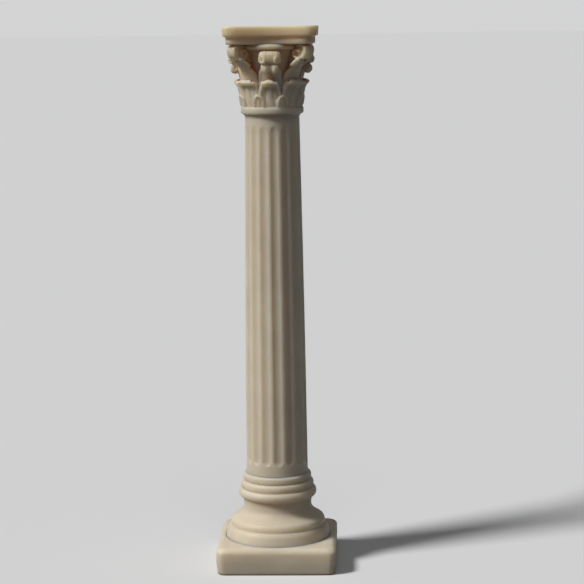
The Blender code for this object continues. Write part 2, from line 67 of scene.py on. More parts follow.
DISC_FOOT = PLINTH_HEIGHT
DOME_FOOT = DISC_FOOT + DISC_HEIGHT
SCOTIA_FOOT = DOME_FOOT + DOME_HEIGHT
LOWER_BEAD_FOOT = SCOTIA_FOOT + SCOTIA_HEIGHT
UPPER_BEAD_FOOT = LOWER_BEAD_FOOT + LOWER_BEAD_HEIGHT
ASTRAGAL_FOOT = UPPER_BEAD_FOOT + UPPER_BEAD_HEIGHT
SHAFT_FOOT = ASTRAGAL_FOOT + ASTRAGAL_HEIGHT
SHAFT_TOP = SHAFT_FOOT + SHAFT_LENGTH
NECK_RING_FOOT = SHAFT_TOP + NECK_COVE_HEIGHT
BELL_FOOT = NECK_RING_FOOT + NECK_RING_HEIGHT
ABACUS_FOOT = BELL_FOOT + BELL_HEIGHT
ABACUS_STEP_LEVEL = ABACUS_FOOT + ABACUS_LOWER_HEIGHT
COLUMN_TOP = ABACUS_STEP_LEVEL + ABACUS_UPPER_HEIGHT

# Shaft, flutes and base mouldings
SHAFT_FOOT_RADIUS = 8.43
SHAFT_NECK_RADIUS = 7.3
ENTASIS_POWER = 1.42
FLUTE_COUNT = 16
FLUTE_WIDTH = 2.5
FLUTE_DEPTH = 0.45
FLUTE_TURN = math.radians(5.4)
FLUTE_FOOT = SHAFT_FOOT + 3.2
FLUTE_HEAD = SHAFT_TOP - 1.8
ASTRAGAL_RADIUS = 9.3
UPPER_BEAD_RADIUS = 9.98
LOWER_BEAD_RADIUS = 10.75
SCOTIA_HEAD_RADIUS = 9.8
DISC_RADIUS = 14.2
PLINTH_HALF_SIDE = 16.2
PLINTH_CORNER_RADIUS = 2.1
PLINTH_EDGE_RADIUS = 1.6
PLINTH_DRAFT = 0.25

# Capital
NECK_RING_RADIUS = 8.42
BELL_RADIUS = 7.58
BELL_LIP_RADIUS = 10.75
BELL_LIP_HEIGHT = 1.45
ABACUS_HALF_SIDE = 12.45
ABACUS_STEP = 0.88
ABACUS_HOLLOW = 1.3
ABACUS_CORNER_CUT = 2.8
LEAF_STRAY = math.radians(-1.5)
RIB_LEVELS = (124.9, 127.0, 129.5, 131.0)
ROLL_CENTRE = (9.6, 135.3)
SWELLING_SIDE = 1.22
SWELLING_SIZES = (1.2, 0.85, 1.3)
CUSHION_CENTRE = (9.3, 137.95)
CUSHION_HALF_WIDTH = 3.0
CUSHION_RIB = 0.07
CUSHION_RIB_PITCH = 0.62
SCROLL_TURN = math.radians(54)
SCROLL_OUT = 1.4
SCROLL_DROP = 0.45
SCROLL_SIDE = 2.05
CALYX_FOOT = 130.4
CALYX_INNER = (9.05, 136.0)
CALYX_OUTER = (12.5, 137.45)
CALYX_FLUTES = 10
CALYX_BAR_RADIUS = 0.48
CALYX_BAR_SIDE = 1.9
CALYX_RIM = ((9.3, 135.75), (10.1, 136.2), (11.0, 136.75), (12.0, 137.3), (13.25, 137.8))
VOLUTE_HALF_WIDTH = 1.5
VOLUTE_CENTRE_RADIUS = 12.15
VOLUTE_CENTRE_HEIGHT = ABACUS_FOOT - 2.33
VOLUTE_SECTIONS = 170
VOLUTE_FLARE = 0.42
VOLUTE_FLARE_SECTIONS = (75, 110)
VOLUTE_CORE_SECTIONS = 105
VOLUTE_CORE_INSET = 0.25
VOLUTE_CORE_HEEL = (-3.9, -2.4)
# Outward, upward and half thickness, about the volute's centre, wound in from the calyx
VOLUTE_PATH = (
    (-4.6, -0.9, 0.28), (-4.0, 0.3, 0.28), (-3.4, 1.1, 0.28), (-2.4, 1.7, 0.28),
    (-1.1, 2.02, 0.28), (0.2, 2.1, 0.28), (1.4, 1.95, 0.32), (1.98, 1.25, 0.42),
    (2.0, 0.3, 0.44), (1.6, -0.6, 0.4), (0.7, -1.2, 0.36), (-0.5, -1.3, 0.36),
    (-1.5, -0.9, 0.36), (-1.95, -0.1, 0.37), (-1.65, 0.6, 0.4), (-0.95, 0.85, 0.46),
    (-0.25, 0.72, 0.5), (0.2, 0.52, 0.42), (0.5, 0.38, 0.12))

# Fineness
TURNED_STEPS = 320
BELL_STEPS = 240
VOXEL = 0.09
PIECE_TRIANGLES = 150000

# Resin
RESIN_SHADES = ((0.32, (0.70, 0.60, 0.455, 1)), (0.68, (0.77, 0.67, 0.515, 1)))
# Painted glow: between these heights the resin is made warmer and brighter, standing in for light
# glowing through the capital
GLOW_PAINT_LEVELS = (126.0, 138.0)
GLOW_PAINT_SHADES = ((0.0, (1, 1, 1, 1)), (1.0, (1.15, 1.06, 0.92, 1)))
# Painted shade: within this reach, ambient occlusion darkens recesses, creases and joints to a warm
# brown
SHADE_PAINT_REACH = 0.006
SHADE_PAINT_COLOURS = ((0.0, (0.74, 0.4, 0.28, 1)), (0.25, (0.95, 0.67, 0.52, 1)), (0.5, (1, 1, 1, 1)))
SHEEN_RANGE = (0.42, 0.58)
GLOW_REACH = (1.0, 0.9, 0.72)
GLOW_SCALE = 0.0042

# Light: a sun has a strength, then its angular size, turn and rise in degrees
AMBIENT_COLOUR = (0.93, 0.95, 1.0, 1)
AMBIENT = 0.075
BACKDROP_COLOUR = (0.655, 0.656, 0.658, 1)
KEY_SUN = (2.8, 12, -63, 46)
FILL_SUN = (0.28, 30, 5, 58)

# Camera, fitted to the photograph: image sizes are in the photo's pixels
PHOTO_WIDTH = 584
FOCAL_LENGTH = 1784
SENSOR_WIDTH = 36.0
CAMERA_PLACE = (21.7, -478.7, 145.7)
COLUMN_LEFT_OF_CENTRE = 17.45
CAMERA_PITCH = math.radians(8.43)
CAMERA_ROLL = math.radians(-0.743)

# One millimetre in metres, from the height of the CAD solid
low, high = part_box(NODE)
MM = (high[2] - low[2]) / COLUMN_TOP


# Mesh building

def blend(start, end, share):
    return start + (end - start) * share


def smooth_step(low_edge, high_edge, value):
    share = np.clip((value - low_edge) / (high_edge - low_edge), 0.0, 1.0)
    return share * share * (3 - 2 * share)


def ridge(distance, width):
    return np.exp(-(distance / width) ** 2)


def around(turn, radius, height, side=0.0):
    """Points at a turn from the front, a radius and a height, shifted along the tangent."""
    turn, radius, height, side = np.broadcast_arrays(turn, radius, height, side)
    return np.stack([radius * np.sin(turn) + side * np.cos(turn),
                     -radius * np.cos(turn) + side * np.sin(turn), height + 0.0 * radius], axis=-1)


def wrapped(turn, radius, height, side):
    """Points whose sideways shift follows the round body instead of the tangent."""
    radius = np.asarray(radius, dtype=float)
    return around(turn + side / radius, radius, height)


def smooth_curve(points, count):
    """Catmull-Rom curve through points of any dimension, evenly sampled in its own parameter."""
    points = np.asarray(points, dtype=float)
    padded = np.vstack([2 * points[0] - points[1], points, 2 * points[-1] - points[-2]])
    places = np.linspace(0, len(points) - 1, count)
    result = []
    for place in places:
        index = min(int(place), len(points) - 2)
        t = place - index
        a, b, c, d = padded[index:index + 4]
        result.append(0.5 * (2 * b + (c - a) * t + (2 * a - 5 * b + 4 * c - d) * t * t
                             + (3 * b - a - 3 * c + d) * t ** 3))
    return np.array(result)


def bowed(start, end, bow, steps):
    """Curve between two (radius, height) points; a positive bow swells outward on the way up."""
    chord = (end[0] - start[0], end[1] - start[1])
    length = math.hypot(*chord)
    out = (chord[1] / length, -chord[0] / length)
    points = []
    for step in range(steps + 1):
        share = step / steps
        swell = 4 * bow * share * (1 - share)
        points.append((start[0] + chord[0] * share + out[0] * swell,
                       start[1] + chord[1] * share + out[1] * swell))
    return points


def bead(low_edge, high_edge, root_low, root_high, outer, steps, squareness=2.0):
    """Rounded moulding: half a superellipse that stands out from the roots at its two edges."""
    points = []
    for step in range(steps + 1):
        angle = math.pi * (step / steps - 0.5)
        rise = math.copysign(abs(math.sin(angle)) ** (2 / squareness), angle)
        swell = max(0.0, math.cos(angle)) ** (2 / squareness)
        share = (rise + 1) / 2
        root = blend(root_low, root_high, share)
        points.append((blend(root, outer, swell), blend(low_edge, high_edge, share)))
    return points


def loft(rings):
    """(points, faces) of a closed solid through equally long rings, with a face over each end."""
    rings = np.asarray(rings, dtype=float)
    levels, count = rings.shape[:2]
    index = np.arange(levels * count).reshape(levels, count)
    following = np.roll(index, -1, axis=1)
    quads = np.stack([index[:-1], following[:-1], following[1:], index[1:]], axis=-1).reshape(-1, 4)
    points = rings.reshape(-1, 3)
    corners = points[quads]
    crossed = np.cross(corners[:, 2] - corners[:, 0], corners[:, 3] - corners[:, 1])
    middle = points.mean(axis=0)
    volume = ((corners.mean(axis=1) - middle) * crossed).sum()
    faces = quads.tolist() + [index[0][::-1].tolist(), index[-1].tolist()]
    if volume < 0:
        faces = [face[::-1] for face in faces]
    return points, faces


def joined(parts):
    """(points, faces) of several (points, faces) in one."""
    points = []
    faces = []
    for part_points, part_faces in parts:
        start = sum(len(block) for block in points)
        points.append(part_points)
        faces += [[corner + start for corner in face] for face in part_faces]
    return np.vstack(points), faces


def new_object(name, points, faces):
    mesh = bpy.data.meshes.new(name)
    mesh.from_pydata(points.tolist(), [], faces)
    mesh.validate()
    thing = bpy.data.objects.new(name, mesh)
    bpy.context.scene.collection.objects.link(thing)
    return thing


def hand_made(points, size, amount):
    """Points nudged by slow noise, as a hand-worked master leaves them."""
    shifts = [noise.noise_vector(Vector(point) / size) for point in points]
    return points + amount * np.array(shifts)


def finish_piece(thing, material):
    """Scales a piece to metres, shades it smooth and hands it to the frame."""
    thing.data.transform(Matrix.Scale(MM, 4))
    thing.data.shade_smooth()
    thing.data.materials.clear()
    thing.data.materials.append(material)
    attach(thing, "root")
    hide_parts(NODE)


# Base mouldings and shaft

def turns_round(steps=TURNED_STEPS):
    """Evenly spaced turns, of which the first is in the middle of a flute."""
    return FLUTE_TURN + math.tau * np.arange(steps) / steps


def turned(profile, steps=TURNED_STEPS):
    """Solid turned about the column's axis, from (radius, height) pairs."""
    turns = turns_round(steps)
    return loft([around(turns, radius, height) for radius, height in profile])


def shaft_radius(height):
    """Radius of the shaft between its flutes, which narrows faster towards the neck."""
    share = np.clip((height - SHAFT_FOOT) / SHAFT_LENGTH, 0.0, None)
    return blend(SHAFT_FOOT_RADIUS, SHAFT_NECK_RADIUS, share ** ENTASIS_POWER)


def base_profile():
    """Disc with a filleted foot, dome that runs up into the scotia, two beads and an astragal."""
    upper_root = LOWER_BEAD_RADIUS - 1.05
    astragal_root = ASTRAGAL_RADIUS - 0.35
    disc = [(DISC_RADIUS + 0.5, DISC_FOOT - 0.3), (DISC_RADIUS + 0.25, DISC_FOOT),
            (DISC_RADIUS + 0.1, DISC_FOOT + 0.1), (DISC_RADIUS, DISC_FOOT + 0.4),
            (DISC_RADIUS - 0.14, DISC_FOOT + 1.1), (DISC_RADIUS - 0.28, DISC_FOOT + 1.75),
            (DISC_RADIUS - 0.44, DISC_FOOT + 2.35), (DISC_RADIUS - 0.7, DISC_FOOT + 2.85),
            (DISC_RADIUS - 1.02, DOME_FOOT - 0.4), (DISC_RADIUS - 1.35, DOME_FOOT - 0.2)]
    dome = [(DISC_RADIUS - 1.22, DOME_FOOT + 0.15), (12.95, 11.65), (12.68, 12.3), (12.22, 12.72),
            (11.5, 13.15), (10.75, 13.65), (10.08, 14.25), (9.62, 14.85), (9.38, 15.5),
            (9.32, 16.4), (9.42, 17.3), (9.6, 18.05), (SCOTIA_HEAD_RADIUS, LOWER_BEAD_FOOT)]
    profile = smooth_curve(disc, 50).tolist() + smooth_curve(dome, 64).tolist()
    for foot, head, root_low, root_high, outer, steps in (
            (LOWER_BEAD_FOOT, UPPER_BEAD_FOOT, SCOTIA_HEAD_RADIUS, upper_root,
             LOWER_BEAD_RADIUS, 20),
            (UPPER_BEAD_FOOT, ASTRAGAL_FOOT, upper_root, astragal_root, UPPER_BEAD_RADIUS, 16),
            (ASTRAGAL_FOOT, SHAFT_FOOT, astragal_root, astragal_root, ASTRAGAL_RADIUS, 14)):
        profile += bead(foot, head, root_low, root_high, outer, steps)[1:]
    profile.append((SHAFT_FOOT_RADIUS - 0.5, SHAFT_FOOT + 0.5))
    return profile


def flute_depth(turns, height):
    """Depth of the round-footed flutes, whose heads fade out below the neck."""
    pitch = math.tau / FLUTE_COUNT
    radius = shaft_radius(height)
    offset = (turns - FLUTE_TURN + pitch / 2) % pitch - pitch / 2
    half = FLUTE_WIDTH / 2 * radius / SHAFT_FOOT_RADIUS
    low_end = np.minimum(height - (FLUTE_FOOT + half), 0.0)
    high_end = np.maximum(height - (FLUTE_HEAD - 1.9 * half), 0.0) / 1.9
    distance = np.sqrt((offset * radius) ** 2 + low_end ** 2 + high_end ** 2) / half
    bowl = np.clip(1 - distance ** 2, 0.0, None) ** 0.85
    fade = 1 - 0.35 * smooth_step(FLUTE_HEAD - 6.0, FLUTE_HEAD, height)
    return FLUTE_DEPTH * bowl * fade


def shaft_levels():
    """Heights of the shaft's rings, closer together at the ends of the flutes."""
    foot = np.arange(FLUTE_FOOT - 0.5, FLUTE_FOOT + 2.3, 0.14)
    head = np.arange(FLUTE_HEAD - 5.0, FLUTE_HEAD + 0.5, 0.17)
    shank = np.linspace(foot[-1], head[0], 70)[1:-1]
    below = np.linspace(SHAFT_FOOT - 0.3, foot[0], 12)[:-1]
    above = np.linspace(head[-1], SHAFT_TOP + 0.05, 6)[1:]
    return np.concatenate([below, foot, shank, head, above])


def make_shaft(material):
    """Fluted shaft, from the astragal up into the neck ring, with a small cove at each end."""
    turns = turns_round()
    rings = []
    for height in shaft_levels():
        spread = 0.16 * math.exp(-max(0.0, height - SHAFT_FOOT) / 0.55)
        radius = shaft_radius(height) + spread - flute_depth(turns, height)
        rings.append(around(turns, radius, height))
    cove = bowed((SHAFT_NECK_RADIUS, SHAFT_TOP + 0.15),
                 (NECK_RING_RADIUS - 0.3, NECK_RING_FOOT + 0.1), bow=-0.24, steps=10)
    for radius, height in cove:
        rings.append(around(turns, radius, height))
    points, faces = loft(rings)
    shaft = new_object("shaft", hand_made(points, size=9.0, amount=0.045), faces)
    finish_piece(shaft, material)


def make_base(material):
    points, faces = turned(base_profile())
    base = new_object("base_mouldings", hand_made(points, size=7.0, amount=0.05), faces)
    finish_piece(base, material)


def rounded_square(half_side, corner_radius, side_steps=36, corner_steps=12):
    """Square outline with rounded corners."""
    points = []
    for corner in range(4):
        start = corner * math.pi / 2
        reach = (half_side - corner_radius) * math.sqrt(2)
        middle = np.array([math.cos(start + math.pi / 4), math.sin(start + math.pi / 4)]) * reach
        for step in range(corner_steps + 1):
            angle = start + step / corner_steps * math.pi / 2
            points.append(middle + corner_radius * np.array([math.cos(angle), math.sin(angle)]))
        run = 2 * (half_side - corner_radius)
        along = np.array([-math.sin(start + math.pi / 2), math.cos(start + math.pi / 2)])
        for step in range(1, side_steps):
            points.append(points[-1] + along * run / side_steps)
    return np.array(points)


def make_plinth(material):
    """Square slab with a soft foot, a slight draft and a rounded top edge."""
    edge = PLINTH_EDGE_RADIUS
    foot = 0.6
    levels = []
    for angle in np.linspace(0, math.pi / 2, 7):
        levels.append((foot * (1 - math.sin(angle)), foot * (1 - math.cos(angle))))
    for height in np.linspace(foot, PLINTH_HEIGHT - edge, 12)[1:-1]:
        levels.append((0.0, height))
    for angle in np.linspace(0, math.pi / 2, 12):
        levels.append((edge * (1 - math.cos(angle)), PLINTH_HEIGHT - edge * (1 - math.sin(angle))))
    rings = []
    for inset, height in levels:
        draft = PLINTH_DRAFT * (1 - smooth_step(0.0, 4.2, height))
        outline = rounded_square(PLINTH_HALF_SIDE - inset - draft, PLINTH_CORNER_RADIUS)
        rings.append(np.column_stack([outline, np.full(len(outline), height)]))
    for share in np.linspace(1.0, 0.55, 14)[1:]:
        rings.append(rings[len(levels) - 1] * np.array([share, share, 1.0]))
    points, faces = loft(rings)
    moved = hand_made(points, size=11.0, amount=0.06)
    moved[:, :2] = np.clip(moved[:, :2], -PLINTH_HALF_SIDE, PLINTH_HALF_SIDE)
    on_ground = points[:, 2] < 0.05
    moved[:, 2] = np.where(on_ground, points[:, 2], np.clip(moved[:, 2], 0.0, PLINTH_HEIGHT))
    finish_piece(new_object("plinth", moved, faces), material)


# Capital: closed forms that are fused by a voxel remesh

def bell():
    """Neck ring and bell, with a lip that shows under the hollows of the abacus."""
    ring_root = NECK_RING_RADIUS - 0.4
    lip_foot = ABACUS_FOOT - BELL_LIP_HEIGHT
    profile = [(SHAFT_NECK_RADIUS - 1.0, NECK_RING_FOOT - 0.35),
               (ring_root - 0.15, NECK_RING_FOOT - 0.25)]
    profile += bead(NECK_RING_FOOT - 0.05, BELL_FOOT + 0.05, ring_root, ring_root,
                    NECK_RING_RADIUS, steps=16, squareness=3.0)
    profile += bowed((BELL_RADIUS, BELL_FOOT + 0.5), (BELL_LIP_RADIUS - 1.4, lip_foot),
                     bow=-1.15, steps=16)
    profile += bead(lip_foot, ABACUS_FOOT + 0.15, BELL_LIP_RADIUS - 1.2, BELL_LIP_RADIUS - 0.7,
                    BELL_LIP_RADIUS, steps=14)[1:]
    profile.append((BELL_LIP_RADIUS - 1.6, ABACUS_FOOT + 0.4))
    return turned(profile, BELL_STEPS)


def outline_distance(side, along, half_widths, lengths):
    """Distance from each point of a leaf's unrolled face to the leaf's outline."""
    edge = np.concatenate([np.column_stack([half_widths, lengths]),
                           np.column_stack([-half_widths, lengths])])
    gaps = np.stack([side, along], axis=-1)[:, :, None, :] - edge[None, None]
    return np.sqrt((gaps ** 2).sum(axis=-1)).min(axis=-1)


def leaf(turn, stations, relief, rows=90, across=61):
    """Closed leaf through (radius, height, half width, thickness) stations.

    relief(side, height, edge distance) gives how far the face stands out along its normal.
    """
    curve = smooth_curve(stations, rows)
    radius, height, half, thickness = curve.T
    steps = np.gradient(curve[:, :2], axis=0)
    size = np.maximum(np.hypot(steps[:, 0], steps[:, 1]), 1e-6)
    normal = np.column_stack([steps[:, 1], -steps[:, 0]]) / size[:, None]
    length = np.concatenate([[0.0], np.cumsum(np.hypot(*np.diff(curve[:, :2], axis=0).T))])
    shares = np.sin(np.linspace(-1, 1, across) * math.pi / 2)
    side = half[:, None] * shares[None]
    along = np.repeat(length[:, None], across, axis=1)
    level = np.repeat(height[:, None], across, axis=1)
    edge = outline_distance(side, along, half, length)
    lift = relief(side, level, edge)
    face = wrapped(turn, radius[:, None] + lift * normal[:, :1], level + lift * normal[:, 1:], side)
    back = wrapped(turn, (radius - thickness * normal[:, 0])[:, None],
                   (height - thickness * normal[:, 1])[:, None], side[:, ::-1] * 0.92)
    return loft(np.concatenate([face, back], axis=1))


def rolled_rim(edge, rise, fall):
    """1 on the crest of a rim that rises from the outline and drops into the leaf's hollow."""
    return smooth_step(0.0, rise, edge) * (1 - smooth_step(rise + 0.05, rise + fall, edge))


def tall_relief(side, level, edge):
    """Round rim, a midrib that flares downward and a finger on each side of it."""
    width = np.interp(level, RIB_LEVELS, (1.25, 0.85, 0.55, 0.4))
    face = smooth_step(130.9, 129.9, level)
    rim = 0.40 * rolled_rim(edge, 0.55, 0.45) * smooth_step(126.8, 128.6, level)
    rim = rim * (1 - 0.7 * smooth_step(130.6, 131.2, level))
    midrib = 0.16 * np.exp(-np.abs(side / width) ** 3)
    grooves = -0.12 * ridge(np.abs(side) - width - 0.28, 0.22)
    fingers = 0.10 * ridge(np.abs(side) - width - 0.80, 0.26) * smooth_step(130.2, 129.2, level)
    hollow = -0.18 * smooth_step(0.5, 1.2, edge) * smooth_step(125.5, 127.5, level)
    return rim + (hollow + (midrib + grooves + fingers) * smooth_step(0.8, 1.3, edge)) * face


def corner_relief(side, level, edge):
    """Broad diagonal leaf: soft rim, weak ribs and a turned-out lip."""
    width = np.interp(level, RIB_LEVELS, (1.2, 0.9, 0.6, 0.4))
    face = smooth_step(130.7, 129.2, level)
    rim = 0.26 * rolled_rim(edge, 0.55, 0.5) * smooth_step(126.8, 128.6, level)
    rim = rim * (1 - 0.7 * smooth_step(130.4, 131.0, level))
    midrib = 0.18 * np.exp(-np.abs(side / width) ** 3)
    grooves = -0.14 * ridge(np.abs(side) - width - 0.35, 0.28)
    fingers = 0.12 * ridge(np.abs(side) - width - 1.0, 0.36)
    hollow = -0.08 * smooth_step(0.5, 1.4, edge)
    return rim + (hollow + (midrib + grooves + fingers) * smooth_step(0.8, 1.4, edge)) * face


def small_relief(side, level, edge):
    """Round rim about a hollow with a tongue that rises from the foot."""
    rim = 0.34 * rolled_rim(edge, 0.36, 0.34) * smooth_step(124.8, 125.6, level)
    tongue = 0.30 * ridge(side, 0.40) * smooth_step(127.6, 126.8, level)
    hollow = -0.18 * smooth_step(0.45, 0.8, edge)
    return rim + hollow + tongue


def stem_relief(side, level, edge):
    """Furrow down the middle and one near each edge."""
    median = -0.16 * ridge(side, 0.32)
    outer = -0.12 * ridge(np.abs(side) - 2.3, 0.3) * smooth_step(131.0, 132.5, level)
    swell = 0.10 * ridge(np.abs(side) - 1.25, 0.6)
    return median + outer + swell


# Leaf stations: radius, height, half width and thickness
TALL_LEAF = ((7.90, 124.4, 2.95, 1.3), (8.06, 125.5, 3.05, 1.4), (8.34, 127.0, 3.12, 1.5),
             (8.54, 128.3, 3.12, 1.5), (8.70, 129.3, 3.00, 1.4), (8.88, 130.15, 2.80, 1.2),
             (9.20, 130.75, 2.55, 1.0), (9.68, 131.1, 2.30, 0.9), (9.98, 131.4, 1.98, 0.85),
             (9.88, 131.75, 1.50, 0.85), (9.46, 132.05, 0.98, 0.85), (8.96, 132.25, 0.5, 0.8),
             (8.5, 132.35, 0.15, 0.6))
CORNER_LEAF = ((7.92, 124.4, 3.10, 1.3), (8.10, 125.6, 3.30, 1.4), (8.38, 127.0, 3.45, 1.5),
               (8.58, 128.3, 3.52, 1.6), (8.74, 129.3, 3.50, 1.4), (9.00, 130.1, 3.42, 1.2),
               (9.52, 130.75, 3.28, 1.0), (10.10, 131.1, 3.1, 0.9), (10.38, 131.45, 2.88, 0.85),
               (10.08, 131.85, 2.5, 0.85), (9.4, 132.15, 1.95, 0.85), (8.6, 132.25, 1.25, 0.8))
SMALL_LEAF = ((8.08, 124.5, 1.45, 0.8), (8.24, 125.2, 1.62, 0.8), (8.42, 126.0, 1.74, 0.85),
              (8.60, 126.8, 1.66, 0.85), (8.74, 127.4, 1.42, 0.8), (8.84, 127.85, 1.08, 0.75),
              (8.86, 128.18, 0.68, 0.65), (8.78, 128.4, 0.22, 0.55))
SIDE_STEM = ((8.15, 129.5, 3.2, 1.2), (8.25, 131.0, 3.3, 1.3), (8.45, 132.4, 3.22, 1.4),
             (8.78, 133.6, 3.06, 1.5), (9.05, 134.5, 2.88, 1.6), (9.15, 135.3, 2.55, 1.6),
             (9.05, 136.0, 2.05, 1.4), (8.75, 136.4, 1.5, 1.2))


def ellipsoid(turn, radius, height, side, sizes, steps=18):
    """Egg with half sizes outward, sideways and upward."""
    rings = []
    for polar in np.linspace(0.06, math.pi - 0.06, steps):
        angles = math.tau * np.arange(2 * steps) / (2 * steps)
        rings.append(around(turn, radius + sizes[0] * math.sin(polar) * np.cos(angles),
                            height + sizes[2] * math.cos(polar),
                            side + sizes[1] * math.sin(polar) * np.sin(angles)))
    return loft(rings)


def lathe(middle, axis, upright, profile, steps=72):
    """Closed solid turned about any axis, from (offset along the axis, radius) pairs."""
    axis = np.array(axis) / np.linalg.norm(axis)
    upright = np.array(upright) - np.dot(upright, axis) * axis
    upright /= np.linalg.norm(upright)
    across = np.cross(upright, axis)
    angles = math.tau * np.arange(steps) / steps
    ring = np.cos(angles)[:, None] * across + np.sin(angles)[:, None] * upright
    return loft([middle + axis * offset + ring * radius for offset, radius in profile])


def leaf_roll(turn):
    """Rolled tip of a side leaf: two swellings, and a hole in each end."""
    half_profile = [(2.05, 0.05), (2.05, 0.33), (2.25, 0.42), (2.36, 0.56), (2.36, 0.72),
                    (2.22, 0.88), (1.95, 1.0), (1.6, 1.08), (1.2, 1.12), (0.85, 1.07),
                    (0.5, 0.99), (0.2, 0.93), (0.06, 0.92)]
    mirrored = [(-offset, radius) for offset, radius in half_profile]
    profile = smooth_curve(mirrored + half_profile[::-1], 80)
    return lathe(around(turn, *ROLL_CENTRE), around(turn, 0.0, 0.0, 1.0), (0, 0, 1), profile)


def side_leaf(turn):
    """Furrowed stem in the middle of a side, with a rolled tip that swells in two places."""
    radius, height = ROLL_CENTRE
    parts = [leaf(turn, SIDE_STEM, stem_relief, rows=60, across=49), leaf_roll(turn)]
    for hand in (-1, 1):
        parts.append(ellipsoid(turn, radius + 0.1, height - 0.3, hand * SWELLING_SIDE,
                               SWELLING_SIZES))
    return parts


def fleuron(turn):
    """Ribbed cushion that droops between two outward-turned scrolls."""
    radius, height = CUSHION_CENTRE
    angles = math.tau * np.arange(80) / 80
    out = np.sign(np.cos(angles)) * np.abs(np.cos(angles)) ** 0.85
    rise = np.sign(np.sin(angles)) * np.abs(np.sin(angles)) ** 0.85
    rings = []
    for share in np.sin(np.linspace(-1, 1, 61) * math.pi / 2):
        side = share * CUSHION_HALF_WIDTH
        closing = math.sqrt(max(0.0, 1 - abs(share) ** 5))
        ribs = CUSHION_RIB * math.cos(side / CUSHION_RIB_PITCH * math.tau)
        ribs = ribs * smooth_step(1.0, 0.8, abs(share))
        reach = 0.35 + (1.42 + ribs) * closing
        tall = 0.35 + (1.60 + ribs) * closing
        narrow = 1 - 0.10 * (1 - rise)
        rings.append(around(turn, radius + reach * out * (1 + 0.1 * rise), height + tall * rise,
                            side * narrow))
    parts = [loft(rings)]
    face = [(-1.6, 0.5), (-1.6, 0.9), (-0.6, 1.08), (0.0, 1.12), (0.2, 1.05), (0.3, 0.84),
            (0.22, 0.6), (0.0, 0.45), (-0.16, 0.34), (-0.22, 0.2), (-0.22, 0.05)]
    for hand in (-1, 1):
        facing = turn + hand * (math.pi / 2 - SCROLL_TURN)
        middle = around(turn, radius + SCROLL_OUT, height - SCROLL_DROP, hand * SCROLL_SIDE)
        parts.append(lathe(middle, around(facing, 1.0, 0.0), (0, 0, 1), smooth_curve(face, 40)))
    return parts


def volute(turn):
    """Scroll band that winds in to a blob, over a recessed core."""
    path = smooth_curve(VOLUTE_PATH, VOLUTE_SECTIONS)
    steps = np.gradient(path[:, :2], axis=0)
    lengths = np.hypot(steps[:, 0], steps[:, 1])
    normal = np.column_stack([-steps[:, 1], steps[:, 0]]) / lengths[:, None]
    section_angles = math.tau * np.arange(28) / 28
    curve_out = np.sign(np.cos(section_angles)) * np.abs(np.cos(section_angles)) ** 0.8
    curve_side = np.sign(np.sin(section_angles)) * np.abs(np.sin(section_angles)) ** 0.36
    band = []
    for step, (middle, away) in enumerate(zip(path, normal)):
        place = middle[:2] + middle[2] * curve_out[:, None] * away
        flare = VOLUTE_FLARE * smooth_step(*VOLUTE_FLARE_SECTIONS, step)
        half_width = VOLUTE_HALF_WIDTH + flare
        band.append(around(turn, VOLUTE_CENTRE_RADIUS + place[:, 0],
                           VOLUTE_CENTRE_HEIGHT + place[:, 1], half_width * curve_side))
    outline = np.vstack([path[:VOLUTE_CORE_SECTIONS, :2], VOLUTE_CORE_HEEL])
    core_half = VOLUTE_HALF_WIDTH - VOLUTE_CORE_INSET
    core = [around(turn, VOLUTE_CENTRE_RADIUS + outline[:, 0],
                   VOLUTE_CENTRE_HEIGHT + outline[:, 1], side * core_half) for side in (-1, 1)]
    return [loft(band), loft(core)]


def calyx(turn):
    """Fluted cup that carries a volute, with a rounded bar along each flank of its mouth."""
    angles = math.tau * np.arange(96) / 96
    place = (1 + np.cos(angles)) / 2
    rings = []
    for share in np.linspace(0, 1, 44):
        flare = share ** 2.2
        half = blend(3.05, 1.2, flare)
        flutes = 1 + 0.06 * np.cos(angles * CALYX_FLUTES) * math.sin(math.pi * share)
        radius = blend(blend(5.6, CALYX_INNER[0], flare), blend(8.5, CALYX_OUTER[0], flare), place)
        height = blend(blend(CALYX_FOOT, CALYX_INNER[1], share),
                       blend(CALYX_FOOT, CALYX_OUTER[1], share), place)
        rings.append(around(turn, radius, height, half * np.sin(angles) * flutes))
    parts = [loft(rings)]
    path = smooth_curve(CALYX_RIM, 30)
    for hand in (-1, 1):
        flank = around(turn, path[:, 0], path[:, 1], hand * CALYX_BAR_SIDE)
        parts.append(bar(flank, CALYX_BAR_RADIUS))
    return parts


def bar(path, radius):
    """Round bar along a path, with domed ends."""
    angles = math.tau * np.arange(24) / 24
    along = np.gradient(path, axis=0)
    along /= np.linalg.norm(along, axis=1)[:, None]
    across = np.cross(along, (0, 0, 1))
    across /= np.linalg.norm(across, axis=1)[:, None]
    upright = np.cross(across, along)
    rings = []
    for index, middle in enumerate(path):
        near_end = min(index, len(path) - 1 - index) / 5
        size = radius * math.sqrt(max(0.01, 1 - max(0.0, 1 - near_end) ** 2))
        rings.append(middle + (size * np.cos(angles))[:, None] * across[index]
                     + (size * np.sin(angles))[:, None] * upright[index])
    return loft(rings)


def leaf_parts():
    """Bell with a tall leaf on each side, one on each diagonal and a small one in each gap."""
    parts = [bell()]
    for index in range(8):
        turn = index * math.pi / 4
        if index % 2:
            parts.append(leaf(turn, CORNER_LEAF, corner_relief))
        else:
            parts.append(leaf(turn + LEAF_STRAY, TALL_LEAF, tall_relief))
        parts.append(leaf(turn + math.pi / 8, SMALL_LEAF, small_relief, rows=50, across=41))
    return parts


def four_times(make, first_turn):
    """Parts of a form on each of four sides, a quarter turn apart."""
    parts = []
    for index in range(4):
        parts += make(first_turn + index * math.pi / 2)
    return parts


def evaluated(thing):
    """The object's mesh with its modifiers applied, which are then removed."""
    depsgraph = bpy.context.evaluated_depsgraph_get()
    mesh = bpy.data.meshes.new_from_object(thing.evaluated_get(depsgraph))
    thing.modifiers.clear()
    thing.data = mesh
    return mesh


